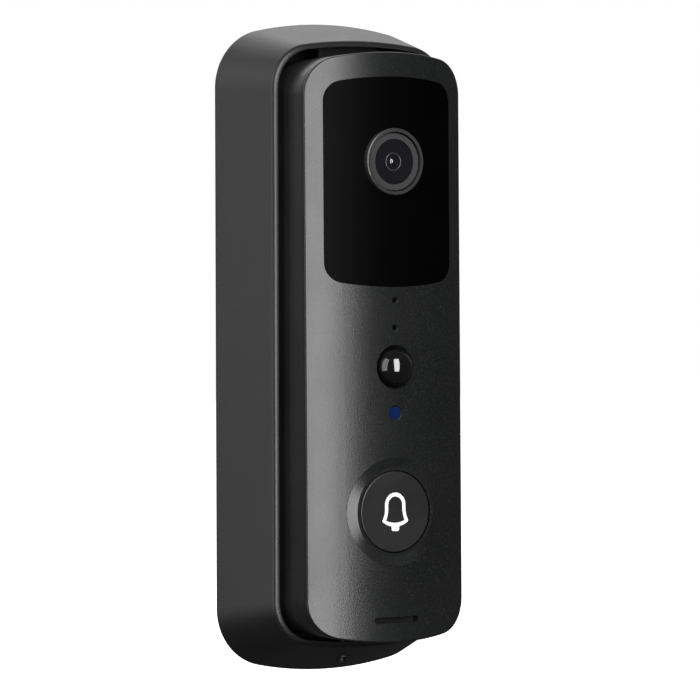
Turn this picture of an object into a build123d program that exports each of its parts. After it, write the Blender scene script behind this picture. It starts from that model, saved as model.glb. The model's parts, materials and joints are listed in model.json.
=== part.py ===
from build123d import *
import os
from math import cos, pi, sin, sqrt

os.makedirs("parts", exist_ok=True)

# The wall is the plane y = 0. The doorbell stands out from it towards -Y, +Z is up,
# and every "height" below is a height above the wall.

# Face of the doorbell unit
FACE_WIDTH = 42.5
FACE_TALL = 135.5
FACE_CORNER = 8.4
FACE_BOW = 85.0  # radius of the bowed top and bottom ends
FACE_RADIUS = 48.5  # radius of the curve from side to side
FACE_HEIGHT = 32.0
FACE_AXIS = FACE_RADIUS - FACE_HEIGHT  # how far the curve's axis lies behind the wall
PARTING = 26.0  # joint line between face cover and body shell
COVER_WALL = 1.8

# Wall housing
HOUSING_WIDTH = 59.0
HOUSING_TALL = 152.1
HOUSING_CORNER = 14.0
HOUSING_BOW = 88.0
RIM_HEIGHT = 18.25
MOUTH_WIDTH = 45.1
MOUTH_TALL = 138.05
MOUTH_CORNER = 9.3
MOUTH_Z = 0.28
RIM_THICK = 1.15
RIM_WIDTH = MOUTH_WIDTH + 2 * RIM_THICK
RIM_TALL = MOUTH_TALL + 2 * RIM_THICK
RIM_CORNER = MOUTH_CORNER + RIM_THICK
RIM_BOW = 112.0
RIM_ROUND = 1.2
HOUSING_Z = -0.7  # the housing's middle lies a little below the face's middle
HOUSING_WALL = 2.2
PAD_THICK = 0.8
FLOOR_HEIGHT = 2.8

# Body shell of the doorbell unit
UNIT_BACK = 3.6
SHELL_WALL = 1.5
SHELL_DRAFT = 1.4
SHELL_ROUND = 2.2
BACK_WALL = 1.8

# Window and camera
WINDOW_WIDTH = 34.2
WINDOW_TALL = 48.0
WINDOW_Z = 38.0
WINDOW_CORNER = 4.6
WINDOW_BOW = 87.5
WINDOW_THICK = 1.1
TAPE_THICK = 0.15
CAMERA_Z = 42.6
BEZEL_RADIUS = 7.7
BEZEL_BORE = 6.85
BEZEL_HEIGHT = 32.7
RING_RADIUS = 6.55
RING_HEIGHT = 32.1
LENS_RADIUS = 5.2
LENS_HEIGHT = 31.7

# Features down the middle of the face
MIC_Z = (10.8, 4.5)
MIC_RADIUS = 0.6
DOME_Z = -4.5
DOME_RADIUS = 4.4
DOME_CENTRE = 31.3
SEAT_RADIUS = 5.1
STATUS_Z = -15.0
STATUS_RADIUS = 1.5
BUTTON_Z = -37.7
BUTTON_RADIUS = 9.35
BUTTON_HEIGHT = 31.45
BUTTON_GAP = 0.2
BUTTON_TRAVEL = 0.7
COLLAR_RADIUS = 12.55
COLLAR_TOP = 10.3
COLLAR_STEP = 0.12
SLOT_Z = -62.5
SLOT_LENGTH = 12.0
SLOT_TALL = 1.4

# Inside
CELL_RADIUS = 9.2
CELL_LENGTH = 65.0
CELL_X = 9.25
CELL_HEIGHT = 14.75
CELL_Z = -27.6
BOARD_BACK = 25.3
BOARD_FRONT = 26.3
SERVICE_BOARD = 9.0  # rear face of the service board
BOARD_THICK = 1.0
SERVICE_Z = 40.0
TERMINAL_Z = 22.0
TERMINAL_X = 4.5
HOOK_HEIGHT = 12.0
HOOK_TIP = 66.55
UNIT_LEAN = 0.5  # degrees that the hanging unit leans out at its foot
UNIT_DROP = 0.4  # how far the unit's middle hangs below the origin
SCREW_SPACING = 96.0
SCREW_HOLE = 2.25
SECURITY_HEIGHT = 9.0
BOARD_REST = [(x, z) for x in (-12.5, 12.5) for z in (-46.0, 18.0)]
SLACK = 0.1  # gap between neighbouring pieces of one body
TOUCH = 0.02  # gap between pieces of one body that rest on each other
ON_BOARD = BOARD_FRONT + TOUCH  # foot of the pieces that stand on the main board
PAST = 1.0  # how far a cut runs beyond the surface that it opens
ABOVE_FACE = FACE_HEIGHT + PAST


def end_bowed(width, tall, corner, bow):
    """Outline with straight sides, bowed ends and round corners."""
    shoulder = tall / 2 - (bow - sqrt(bow**2 - (width / 2) ** 2))
    side = width / 2
    with BuildSketch() as outline:
        with BuildLine():
            Line((side, -shoulder), (side, shoulder))
            ThreePointArc((side, shoulder), (0, tall / 2), (-side, shoulder))
            Line((-side, shoulder), (-side, -shoulder))
            ThreePointArc((-side, -shoulder), (0, -tall / 2), (side, -shoulder))
        make_face()
        fillet(outline.vertices(), corner)
    return outline.sketch


def bowed_plate(size, low, high, z=0.0, mode=Mode.ADD):
    """Plate of an end-bowed outline (width, tall, corner, bow) between two heights."""
    with BuildSketch(Plane.XZ.offset(low)) as profile:
        with Locations((0, z)):
            add(end_bowed(*size))
    extrude(profile.sketch, amount=high - low, mode=mode)


def disc(radius, low, high, x=0.0, z=0.0, mode=Mode.ADD):
    """Round plate or hole between two heights."""
    with BuildSketch(Plane.XZ.offset(low)) as profile:
        with Locations((x, z)):
            Circle(radius)
    extrude(profile.sketch, amount=high - low, mode=mode)


def block(width, tall, low, high, x=0.0, z=0.0, corner=0.0, mode=Mode.ADD):
    """Rectangular plate or hole between two heights, its corners rounded if asked."""
    with BuildSketch(Plane.XZ.offset(low)) as profile:
        with Locations((x, z)):
            if corner:
                RectangleRounded(width, tall, corner)
            else:
                Rectangle(width, tall)
    extrude(profile.sketch, amount=high - low, mode=mode)


def cone(low_radius, high_radius, low, high, x=0.0, z=0.0, mode=Mode.ADD):
    """Frustum between two heights."""
    with BuildSketch(Plane.XZ.offset(low)) as bottom:
        with Locations((x, z)):
            Circle(low_radius)
    with BuildSketch(Plane.XZ.offset(high)) as top:
        with Locations((x, z)):
            Circle(high_radius)
    loft([bottom.sketch, top.sketch], mode=mode)


def face_curve(radius, mode):
    """Upright cylinder about the axis of the face's curve."""
    with BuildSketch(Plane.XY.offset(-FACE_TALL)) as profile:
        with Locations((0, FACE_AXIS)):
            Circle(radius)
    extrude(profile.sketch, amount=2 * FACE_TALL, mode=mode)


def curve_height(x, radius=FACE_RADIUS):
    """Height of a face curve above the wall at a distance from the middle."""
    return sqrt(radius**2 - x**2) - FACE_AXIS


def finish(part, label, hangs=True):
    """Names a piece and writes it. A piece of the unit hangs and leans with it."""
    placed = part
    if hangs:
        hook_axis = Axis((0, -HOOK_HEIGHT, HOOK_TIP), (1, 0, 0))
        placed = part.rotate(hook_axis, -UNIT_LEAN).translate((0, 0, -UNIT_DROP))
    placed.label = label
    export_step(placed, f"parts/{label}.step")


def shrunk(size, by):
    """End-bowed outline with its edge moved inwards."""
    width, tall, corner, bow = size
    return (width - 2 * by, tall - 2 * by, max(corner - by, 0.5), bow - by)


FACE = (FACE_WIDTH, FACE_TALL, FACE_CORNER, FACE_BOW)
HOUSING = (HOUSING_WIDTH, HOUSING_TALL, HOUSING_CORNER, HOUSING_BOW)
RIM = (RIM_WIDTH, RIM_TALL, RIM_CORNER, RIM_BOW)
MOUTH = (MOUTH_WIDTH, MOUTH_TALL, MOUTH_CORNER, RIM_BOW)
WINDOW = (WINDOW_WIDTH, WINDOW_TALL, WINDOW_CORNER, WINDOW_BOW)

# ---------------------------------------------------------------- wall housing

WIRE_HOLE = (20.0, 11.0)
WIRE_CORNER = 2.5
PAD_INSET = 1.0

with BuildPart() as wall_pad:
    bowed_plate(shrunk(HOUSING, PAD_INSET), 0, PAD_THICK, HOUSING_Z)
    block(*WIRE_HOLE, 0, PAD_THICK, z=TERMINAL_Z, corner=WIRE_CORNER, mode=Mode.SUBTRACT)
    for hole_z in (-SCREW_SPACING / 2, SCREW_SPACING / 2):
        disc(SCREW_HOLE, 0, PAD_THICK, z=hole_z, mode=Mode.SUBTRACT)
finish(wall_pad.part, "wall_pad", hangs=False)

HOOK_WIDTH = 16.0
HOOK_THICK = 1.2
HOOK_TALL = 5.0
BACK_ROUND = 0.6
BOSS_RADIUS = 2.4
BOSS_FOOT = -72.8  # level of the inside of the bottom wall
BOSS_LENGTH = 3.9
SECURITY_HOLE = 1.05
SECURITY_TOP = -68.3
SECURITY_LENGTH = 5.7
SOCKET_RADIUS = 0.6
SOCKET_DEEP = 1.2

with BuildPart() as wall_housing:
    with BuildSketch(Plane.XZ.offset(PAD_THICK)):
        with Locations((0, HOUSING_Z)):
            add(end_bowed(*HOUSING))
    with BuildSketch(Plane.XZ.offset(RIM_HEIGHT)):
        with Locations((0, MOUTH_Z)):
            add(end_bowed(*RIM))
    loft()
    rim_edges = wall_housing.edges().group_by(Axis.Y)[0]
    fillet(rim_edges, RIM_ROUND)
    back_edges = wall_housing.edges().group_by(Axis.Y)[-1]
    fillet(back_edges, BACK_ROUND)
    with BuildSketch(Plane.XZ.offset(FLOOR_HEIGHT)):
        with Locations((0, HOUSING_Z)):
            add(end_bowed(*shrunk(HOUSING, HOUSING_WALL + BACK_ROUND)))
    with BuildSketch(Plane.XZ.offset(RIM_HEIGHT)):
        with Locations((0, MOUTH_Z)):
            add(end_bowed(*MOUTH))
    loft(mode=Mode.SUBTRACT)
    # Hook at the top that the doorbell unit hangs from, with a round lower edge to turn on
    hook_back = HOOK_HEIGHT - HOOK_THICK / 2
    block(HOOK_WIDTH, HOOK_TALL, hook_back, hook_back + HOOK_THICK, z=HOOK_TIP + HOOK_TALL / 2)
    with BuildSketch(Plane.YZ.offset(-HOOK_WIDTH / 2)):
        with Locations((-HOOK_HEIGHT, HOOK_TIP)):
            Circle(HOOK_THICK / 2)
    extrude(amount=HOOK_WIDTH)
    # Boss for the security screw, on the inside of the bottom wall
    with BuildSketch(Plane.XY.offset(BOSS_FOOT)):
        with Locations((0, -SECURITY_HEIGHT)):
            Circle(BOSS_RADIUS)
    extrude(amount=BOSS_LENGTH)
    with BuildSketch(Plane.XY.offset(SECURITY_TOP)):
        with Locations((0, -SECURITY_HEIGHT)):
            Circle(SECURITY_HOLE)
    extrude(amount=-SECURITY_LENGTH - 2 * PAST, mode=Mode.SUBTRACT)
    # Holes for the wall screws and for the chime wires
    for hole_z in (-SCREW_SPACING / 2, SCREW_SPACING / 2):
        disc(SCREW_HOLE, 0, FLOOR_HEIGHT + PAST, z=hole_z, mode=Mode.SUBTRACT)
    block(
        *WIRE_HOLE, 0, FLOOR_HEIGHT + PAST, z=TERMINAL_Z, corner=WIRE_CORNER, mode=Mode.SUBTRACT
    )
finish(wall_housing.part, "wall_housing", hangs=False)

with BuildPart() as security_screw:
    with BuildSketch(Plane.XY.offset(SECURITY_TOP)):
        with Locations((0, -SECURITY_HEIGHT)):
            Circle(SECURITY_HOLE - SLACK / 2)
    extrude(amount=-SECURITY_LENGTH)
    with BuildSketch(Plane.XY.offset(SECURITY_TOP - SECURITY_LENGTH)):
        with Locations((0, -SECURITY_HEIGHT)):
            RegularPolygon(SOCKET_RADIUS, 6)
    extrude(amount=SOCKET_DEEP, mode=Mode.SUBTRACT)
finish(security_screw.part, "security_screw", hangs=False)

# ---------------------------------------------------------------- body shell

BATTERY_DOOR = (37.0, 70.0)
DOOR_CORNER = 3.0
DOOR_Z = -27.5
DOOR_SLACK = 0.15
DOOR_THICK = 1.5
GROOVES = 5
GROOVE_STEP = 3.0
GROOVE_DEEP = 0.5
LATCH_Z = DOOR_Z + BATTERY_DOOR[1] / 2 - 6.0
LATCH_TRAVEL = 3.0
LATCH_RECESS = (12.0, 5.4)
LATCH_RECESS_DEEP = 0.9
LATCH_PLATE = (8.0, 4.6)
LATCH_RIDGE = (0.7, 3.4)
RIDGE_STEP = 1.5
USB_X, RESET_X, POWER_X = 0.0, 10.5, -10.5
USB_OPENING = (9.6, 3.9)
PLUG_RECESS = (14.4, 8.4)
PLUG_RECESS_DEEP = 1.1
RESET_OPENING = 1.6
POWER_OPENING = (6.4, 2.4)
TERMINAL_OPENING = (18.4, 9.4)
SCREW_POSTS = [(-14.0, 60.6), (14.0, 60.6), (-16.2, 12.0), (16.2, 12.0)]
POST_RADIUS = 2.2
POST_JOINT = 22.0  # where the posts of the shell meet those of the cover
CASE_SCREW_RADIUS = 0.9
SCREW_HEAD_RADIUS = 1.65
DIVIDER = (36.6, 1.4)
DIVIDER_Z = 8.6
DIVIDER_FRONT = 23.9
HOOK_SLOT = (HOOK_WIDTH + 1.2, 4.4)
HOOK_SLOT_FLOOR = 65.7
THROUGH_BACK = UNIT_BACK + BACK_WALL + PAST

with BuildPart() as body_shell:
    with BuildSketch(Plane.XZ.offset(PARTING)):
        add(end_bowed(*FACE))
    extrude(amount=-(PARTING - UNIT_BACK), taper=SHELL_DRAFT)
    fillet(body_shell.edges().group_by(Axis.Y)[-1], SHELL_ROUND)
    with BuildSketch(Plane.XZ.offset(PARTING)):
        add(end_bowed(*shrunk(FACE, SHELL_WALL)))
    extrude(amount=-(PARTING - UNIT_BACK - BACK_WALL), taper=SHELL_DRAFT, mode=Mode.SUBTRACT)
    # Posts that take the case screws
    for post_x, post_z in SCREW_POSTS:
        disc(POST_RADIUS, UNIT_BACK + PAST, POST_JOINT, post_x, post_z)
        disc(CASE_SCREW_RADIUS + SLACK, 0, PARTING, post_x, post_z, mode=Mode.SUBTRACT)
        disc(SCREW_HEAD_RADIUS + SLACK, 0, UNIT_BACK + 1.5, post_x, post_z, mode=Mode.SUBTRACT)
    # Wall between the battery bay and the service bay
    block(*DIVIDER, UNIT_BACK + PAST, DIVIDER_FRONT, z=DIVIDER_Z)
    # Battery door opening
    block(*BATTERY_DOOR, 0, THROUGH_BACK, z=DOOR_Z, corner=DOOR_CORNER, mode=Mode.SUBTRACT)
    # Service openings: charging socket, reset button, power switch and chime terminals
    block(*USB_OPENING, 0, THROUGH_BACK, USB_X, SERVICE_Z, 1.6, mode=Mode.SUBTRACT)
    block(*PLUG_RECESS, 0, UNIT_BACK + PLUG_RECESS_DEEP, USB_X, SERVICE_Z, 2.0, mode=Mode.SUBTRACT)
    disc(RESET_OPENING, 0, THROUGH_BACK, RESET_X, SERVICE_Z, mode=Mode.SUBTRACT)
    block(*POWER_OPENING, 0, THROUGH_BACK, POWER_X, SERVICE_Z, 0.6, mode=Mode.SUBTRACT)
    block(*TERMINAL_OPENING, 0, THROUGH_BACK, 0, TERMINAL_Z, 1.0, mode=Mode.SUBTRACT)
    # Slot in the top that takes the housing's hook
    with BuildSketch(Plane.XY.offset(HOOK_SLOT_FLOOR)):
        with Locations((0, -HOOK_HEIGHT)):
            Rectangle(*HOOK_SLOT)
    extrude(amount=HOOK_TALL, mode=Mode.SUBTRACT)
finish(body_shell.part, "body_shell")

with BuildPart() as battery_cover:
    block(
        BATTERY_DOOR[0] - 2 * DOOR_SLACK,
        BATTERY_DOOR[1] - 2 * DOOR_SLACK,
        UNIT_BACK,
        UNIT_BACK + DOOR_THICK,
        z=DOOR_Z,
        corner=DOOR_CORNER - DOOR_SLACK,
    )
    # Finger grooves across the cover
    for groove in range(GROOVES):
        groove_z = DOOR_Z - 26 + GROOVE_STEP * groove
        block(16, 1.0, 0, UNIT_BACK + GROOVE_DEEP, z=groove_z, corner=0.45, mode=Mode.SUBTRACT)
    # Recess that the latch slides in
    block(
        *LATCH_RECESS, 0, UNIT_BACK + LATCH_RECESS_DEEP, z=LATCH_Z, corner=0.8, mode=Mode.SUBTRACT
    )
finish(battery_cover.part, "battery_cover")

LATCH_X = -LATCH_TRAVEL / 2
LATCH_TOP = UNIT_BACK + LATCH_RECESS_DEEP - SLACK
with BuildPart() as battery_latch:
    block(*LATCH_PLATE, UNIT_BACK + SLACK, LATCH_TOP, x=LATCH_X, z=LATCH_Z, corner=0.6)
    for ridge in (-1.5, -0.5, 0.5, 1.5):
        ridge_x = LATCH_X + RIDGE_STEP * ridge
        block(*LATCH_RIDGE, UNIT_BACK - 0.25, UNIT_BACK + 0.3, x=ridge_x, z=LATCH_Z)
finish(battery_latch.part, "battery_latch")

# ---------------------------------------------------------------- face cover

# Collar around the bell button: a skirt that falls from a flat ring to the curved face.
# Its outer edge follows the face and stands a small step above it.
COLLAR_POINTS = 48
COLLAR_FOOT = 29.8


def collar_point(angle):
    """Point of the collar's outer edge."""
    x = COLLAR_RADIUS * cos(angle)
    return Vector(x, -curve_height(x) - COLLAR_STEP, BUTTON_Z + COLLAR_RADIUS * sin(angle))


def collar_circle(radius, height):
    """Circle around the bell button at a height above the wall."""
    return Wire(Edge.make_circle(radius, Plane((0, -height, BUTTON_Z), (1, 0, 0), (0, -1, 0))))


collar_points = [collar_point(2 * pi * step / COLLAR_POINTS) for step in range(COLLAR_POINTS)]
collar_foot = collar_circle(COLLAR_RADIUS, COLLAR_FOOT)
collar_rim = Wire(Edge.make_spline(collar_points, periodic=True))
collar_crown = collar_circle(COLLAR_TOP, BUTTON_HEIGHT)
collar_blank = Solid.make_loft([collar_foot, collar_rim, collar_crown], ruled=True)

WINDOW_FIT = 0.12  # gap all around the window
WINDOW_LEDGE = 1.4
WINDOW_SUNK = 0.05
WINDOW_FRONT = FACE_RADIUS - WINDOW_SUNK
WINDOW_REAR = WINDOW_FRONT - WINDOW_THICK
LEDGE_FRONT = WINDOW_REAR - TAPE_THICK
EDGE_ROUND = 0.45
MIC_MOUTH = 0.95
STATUS_MOUTH = 1.85
POST_TOP = 27.6

with BuildPart() as window_recess:
    bowed_plate(shrunk(WINDOW, -WINDOW_FIT), PARTING, ABOVE_FACE, WINDOW_Z)
    face_curve(LEDGE_FRONT, Mode.SUBTRACT)

with BuildPart() as cover_hollow:
    bowed_plate(shrunk(FACE, COVER_WALL), PARTING - PAST, ABOVE_FACE)
    face_curve(FACE_RADIUS - COVER_WALL, Mode.INTERSECT)

with BuildPart() as face_cover:
    bowed_plate(FACE, PARTING, ABOVE_FACE)
    face_curve(FACE_RADIUS, Mode.INTERSECT)
    front_edges = face_cover.edges().filter_by(lambda edge: edge.center().Y < -PARTING - 0.2)
    fillet(front_edges.filter_by(lambda edge: edge.length > 1.0), EDGE_ROUND)
    add(cover_hollow.part, mode=Mode.SUBTRACT)
    # Window recess with a ledge behind it
    add(window_recess.part, mode=Mode.SUBTRACT)
    bowed_plate(shrunk(WINDOW, WINDOW_LEDGE), PARTING, ABOVE_FACE, WINDOW_Z, Mode.SUBTRACT)
    # Collar and opening for the bell button
    disc(COLLAR_RADIUS - 0.25, PARTING, ABOVE_FACE, z=BUTTON_Z, mode=Mode.SUBTRACT)
    add(collar_blank)
    disc(BUTTON_RADIUS + BUTTON_GAP, PARTING, ABOVE_FACE, z=BUTTON_Z, mode=Mode.SUBTRACT)
    # Microphone holes with a small bell mouth
    for mic_z in MIC_Z:
        disc(MIC_RADIUS, PARTING, ABOVE_FACE, z=mic_z, mode=Mode.SUBTRACT)
        cone(0.5, MIC_MOUTH, FACE_HEIGHT - 0.4, FACE_HEIGHT + 0.05, z=mic_z, mode=Mode.SUBTRACT)
    # Seat of the motion sensor dome
    disc(DOME_RADIUS + 0.15, PARTING, ABOVE_FACE, z=DOME_Z, mode=Mode.SUBTRACT)
    cone(
        DOME_RADIUS,
        SEAT_RADIUS + 0.1,
        FACE_HEIGHT - 1.2,
        FACE_HEIGHT + 0.15,
        z=DOME_Z,
        mode=Mode.SUBTRACT,
    )
    # Status light
    disc(STATUS_RADIUS + 0.05, PARTING, ABOVE_FACE, z=STATUS_Z, mode=Mode.SUBTRACT)
    cone(
        STATUS_RADIUS,
        STATUS_MOUTH,
        FACE_HEIGHT - 0.3,
        FACE_HEIGHT + 0.05,
        z=STATUS_Z,
        mode=Mode.SUBTRACT,
    )
    # Speaker slot
    block(SLOT_LENGTH, SLOT_TALL, PARTING, ABOVE_FACE, z=SLOT_Z, corner=0.65, mode=Mode.SUBTRACT)
    # Screw posts behind the cover, standing on those of the body shell
    for post_x, post_z in SCREW_POSTS:
        disc(POST_RADIUS, POST_JOINT + SLACK / 2, POST_TOP, post_x, post_z)
        disc(CASE_SCREW_RADIUS, POST_JOINT, POST_TOP - 1.1, post_x, post_z, mode=Mode.SUBTRACT)
finish(face_cover.part, "face_cover")

with BuildPart() as window_panel:
    bowed_plate(WINDOW, PARTING, ABOVE_FACE, WINDOW_Z)
    face_curve(WINDOW_FRONT, Mode.INTERSECT)
    face_curve(WINDOW_REAR, Mode.SUBTRACT)
    disc(BEZEL_RADIUS + 0.08, PARTING, ABOVE_FACE, z=CAMERA_Z, mode=Mode.SUBTRACT)
finish(window_panel.part, "window_panel")

with BuildPart() as window_tape:
    bowed_plate(shrunk(WINDOW, SLACK), PARTING, ABOVE_FACE, WINDOW_Z)
    face_curve(WINDOW_REAR, Mode.INTERSECT)
    face_curve(LEDGE_FRONT + TOUCH, Mode.SUBTRACT)
    bowed_plate(shrunk(WINDOW, WINDOW_LEDGE), 0, ABOVE_FACE, WINDOW_Z, Mode.SUBTRACT)
finish(window_tape.part, "window_tape")

# ---------------------------------------------------------------- camera

BEZEL_BACK = 27.2
BEZEL_ROUND = 0.3
RING_BACK = 30.6
LENS_BACK = 30.1
LENS_SPHERE = 22.0  # radius of the front lens's outer surface
APERTURE_BACK = 29.6
APERTURE_RADIUS = 1.9
BARREL_BACK = 21.6
BARREL_RADIUS = 6.6
BARREL_BORE = 4.6
INNER_LENS_BACKS = (26.0, 22.4)
INNER_LENS_RIM = 1.0
INNER_LENS_CROWN = 0.8
HOLDER_SIZE = 14.0
HOLDER_BORE = 5.4
CAMERA_BOARD_BACK = 16.0
CAMERA_BOARD_FRONT = CAMERA_BOARD_BACK + BOARD_THICK

with BuildPart() as camera_bezel:
    disc(BEZEL_RADIUS, BEZEL_BACK, BEZEL_HEIGHT, z=CAMERA_Z)
    fillet(camera_bezel.edges().group_by(Axis.Y)[0], BEZEL_ROUND)
    disc(BEZEL_BORE, 0, BEZEL_HEIGHT + PAST, z=CAMERA_Z, mode=Mode.SUBTRACT)
finish(camera_bezel.part, "camera_bezel")

with BuildPart() as lens_ring:
    disc(RING_RADIUS, RING_BACK, RING_HEIGHT, z=CAMERA_Z)
    disc(LENS_RADIUS + TOUCH, 0, RING_HEIGHT + PAST, z=CAMERA_Z, mode=Mode.SUBTRACT)
finish(lens_ring.part, "lens_ring")

with BuildPart() as front_lens:
    disc(LENS_RADIUS, LENS_BACK, LENS_HEIGHT + PAST, z=CAMERA_Z)
    with Locations((0, LENS_SPHERE - LENS_HEIGHT - 0.2, CAMERA_Z)):
        Sphere(LENS_SPHERE, mode=Mode.INTERSECT)
finish(front_lens.part, "front_lens")

with BuildPart() as aperture_ring:
    disc(LENS_RADIUS, APERTURE_BACK, LENS_BACK - SLACK, z=CAMERA_Z)
    disc(APERTURE_RADIUS, 0, LENS_BACK, z=CAMERA_Z, mode=Mode.SUBTRACT)
finish(aperture_ring.part, "aperture_ring")

with BuildPart() as lens_barrel:
    disc(BARREL_RADIUS, BARREL_BACK, RING_BACK - SLACK, z=CAMERA_Z)
    # Seat of the aperture ring and the front lens
    disc(LENS_RADIUS + 0.05, APERTURE_BACK - 0.05, RING_BACK, z=CAMERA_Z, mode=Mode.SUBTRACT)
    disc(BARREL_BORE, 0, RING_BACK, z=CAMERA_Z, mode=Mode.SUBTRACT)
finish(lens_barrel.part, "lens_barrel")

with BuildPart() as inner_lenses:
    for lens_back in INNER_LENS_BACKS:
        disc(BARREL_BORE - SLACK, lens_back, lens_back + INNER_LENS_RIM, z=CAMERA_Z)
        with BuildSketch(Plane.XZ.offset(lens_back + INNER_LENS_RIM)):
            with Locations((0, CAMERA_Z)):
                Circle(BARREL_BORE - 1.0)
        extrude(amount=INNER_LENS_CROWN, taper=35)
finish(inner_lenses.part, "inner_lenses")

with BuildPart() as lens_holder:
    block(
        HOLDER_SIZE,
        HOLDER_SIZE,
        CAMERA_BOARD_FRONT + SLACK,
        BARREL_BACK - SLACK,
        z=CAMERA_Z,
        corner=1.0,
    )
    disc(HOLDER_BORE, CAMERA_BOARD_BACK, BARREL_BACK, z=CAMERA_Z, mode=Mode.SUBTRACT)
finish(lens_holder.part, "lens_holder")

with BuildPart() as image_sensor:
    block(6.4, 5.6, CAMERA_BOARD_FRONT + SLACK, CAMERA_BOARD_FRONT + 1.0, z=CAMERA_Z)
finish(image_sensor.part, "image_sensor")

with BuildPart() as camera_board:
    block(26, 27, CAMERA_BOARD_BACK, CAMERA_BOARD_FRONT, z=CAMERA_Z, corner=1.0)
finish(camera_board.part, "camera_board")

IR_RING = 11.2
IR_BOARD_BACK = 26.0
IR_BOARD_FRONT = 26.9
IR_BASE_TOP = 28.0
IR_LENS_TOP = 28.5
IR_LEDS = [(IR_RING * cos(a), CAMERA_Z + IR_RING * sin(a)) for a in (pi * k / 3 for k in range(6))]

with BuildPart() as infrared_board:
    block(30, 38, IR_BOARD_BACK, IR_BOARD_FRONT, z=39.5, corner=3.0)
    disc(BEZEL_RADIUS + 0.4, 0, IR_BASE_TOP, z=CAMERA_Z, mode=Mode.SUBTRACT)
finish(infrared_board.part, "infrared_board")

with BuildPart() as infrared_leds:
    for led_x, led_z in IR_LEDS:
        block(3.0, 3.0, IR_BOARD_FRONT + TOUCH, IR_BASE_TOP, led_x, led_z, 0.3)
        disc(1.2, IR_BASE_TOP, IR_LENS_TOP, led_x, led_z)
finish(infrared_leds.part, "infrared_leds")

with BuildPart() as light_sensor:
    disc(1.5, IR_BOARD_FRONT + TOUCH, 29.2, z=24.0)
finish(light_sensor.part, "light_sensor")

# ---------------------------------------------------------------- motion sensor and status light

DOME_WALL = 0.7
FLANGE_BACK = 28.8
FLANGE_FRONT = 29.7
FLANGE_RADIUS = DOME_RADIUS + 1.2

with BuildPart() as motion_dome:
    with Locations((0, -DOME_CENTRE, DOME_Z)):
        Sphere(DOME_RADIUS)
        Sphere(DOME_RADIUS - DOME_WALL, mode=Mode.SUBTRACT)
    block(20, 20, 20, DOME_CENTRE - 1.0, z=DOME_Z, mode=Mode.SUBTRACT)
    # Flange that holds the dome behind the cover
    disc(FLANGE_RADIUS, FLANGE_BACK, FLANGE_FRONT, z=DOME_Z)
    disc(DOME_RADIUS, FLANGE_BACK, DOME_CENTRE, z=DOME_Z)
    disc(DOME_RADIUS - DOME_WALL, 0, DOME_CENTRE, z=DOME_Z, mode=Mode.SUBTRACT)
finish(motion_dome.part, "motion_dome")

with BuildPart() as motion_sensor:
    disc(4.2, ON_BOARD, 26.8, z=DOME_Z)
    disc(3.55, 26.8, 29.4, z=DOME_Z)
    block(3.4, 2.8, 29.2, 30.4, z=DOME_Z, mode=Mode.SUBTRACT)
finish(motion_sensor.part, "motion_sensor")

PIPE_BACK = 28.0
with BuildPart() as status_light_pipe:
    disc(STATUS_RADIUS, PIPE_BACK, FACE_HEIGHT - 0.25, z=STATUS_Z)
    disc(STATUS_RADIUS + 0.8, PIPE_BACK, 29.8, z=STATUS_Z)
finish(status_light_pipe.part, "status_light_pipe")

with BuildPart() as status_led:
    block(1.6, 1.6, ON_BOARD, 27.2, z=STATUS_Z)
finish(status_led.part, "status_led")

MIC_CASE_TOP = 27.4
BOOT_TOP = 30.0
with BuildPart() as microphones:
    for mic_z in MIC_Z:
        block(3.5, 2.7, ON_BOARD, MIC_CASE_TOP, z=mic_z)
        disc(0.3, 26.8, MIC_CASE_TOP + PAST, z=mic_z, mode=Mode.SUBTRACT)
finish(microphones.part, "microphones")

with BuildPart() as microphone_boots:
    for mic_z in MIC_Z:
        disc(2.0, MIC_CASE_TOP + TOUCH, BOOT_TOP, z=mic_z)
        disc(MIC_RADIUS, 0, BOOT_TOP + PAST, z=mic_z, mode=Mode.SUBTRACT)
finish(microphone_boots.part, "microphone_boots")

# ---------------------------------------------------------------- bell button

ICON_DEEP = 0.5
ICON_STROKE = 0.88
ICON_SHOULDER = 2.8  # half width of the bell's dome
ICON_LIP = 3.62  # half width of the bell's mouth
ICON_WAIST = 2.98
CLAPPER = (2.1, 1.75)


def bell_outline(inset):
    """Outline of a hand bell, moved inwards by an inset."""
    shoulder = ICON_SHOULDER - inset
    waist = ICON_WAIST - inset
    lip = ICON_LIP - 1.24 * inset
    lip_z = -2.15 + 0.17 * inset
    with BuildSketch() as outline:
        with BuildLine():
            RadiusArc((-shoulder, 1.6), (shoulder, 1.6), shoulder)
            Line((shoulder, 1.6), (shoulder, 0.7))
            ThreePointArc((shoulder, 0.7), (waist, -0.65), (lip, lip_z))
            ThreePointArc((lip, lip_z), (0, -3.42 + inset), (-lip, lip_z))
            ThreePointArc((-lip, lip_z), (-waist, -0.65), (-shoulder, 0.7))
            Line((-shoulder, 0.7), (-shoulder, 1.6))
        make_face()
        if not inset:
            fillet(outline.vertices().filter_by(lambda corner: corner.Y < -2), 0.35)
    return outline.sketch


bell_outside = bell_outline(0)
bell_inside = bell_outline(ICON_STROKE)
with BuildSketch() as bell_shape:
    add(bell_outside)
    add(bell_inside, mode=Mode.SUBTRACT)
    # Clapper
    with Locations((0, -3.55)):
        RectangleRounded(*CLAPPER, 0.45)

CAP_FOOT = 27.6
CAP_LIP = 28.3
CAP_THICK = 1.3
CAP_BORE = BUTTON_RADIUS - 1.1
GUIDE_BACK = 28.9
GUIDE_BORE = 5.0
STEM_RADIUS = 1.5
STEM_TOP = 29.15
SWITCH_TOP = 28.3
LED_RING = 6.3

with BuildPart() as bell_icon:
    with BuildSketch(Plane.XZ.offset(BUTTON_HEIGHT - ICON_DEEP)):
        with Locations((0, BUTTON_Z)):
            add(bell_shape.sketch)
    extrude(amount=ICON_DEEP + 0.02)
finish(bell_icon.part, "bell_icon")

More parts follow.
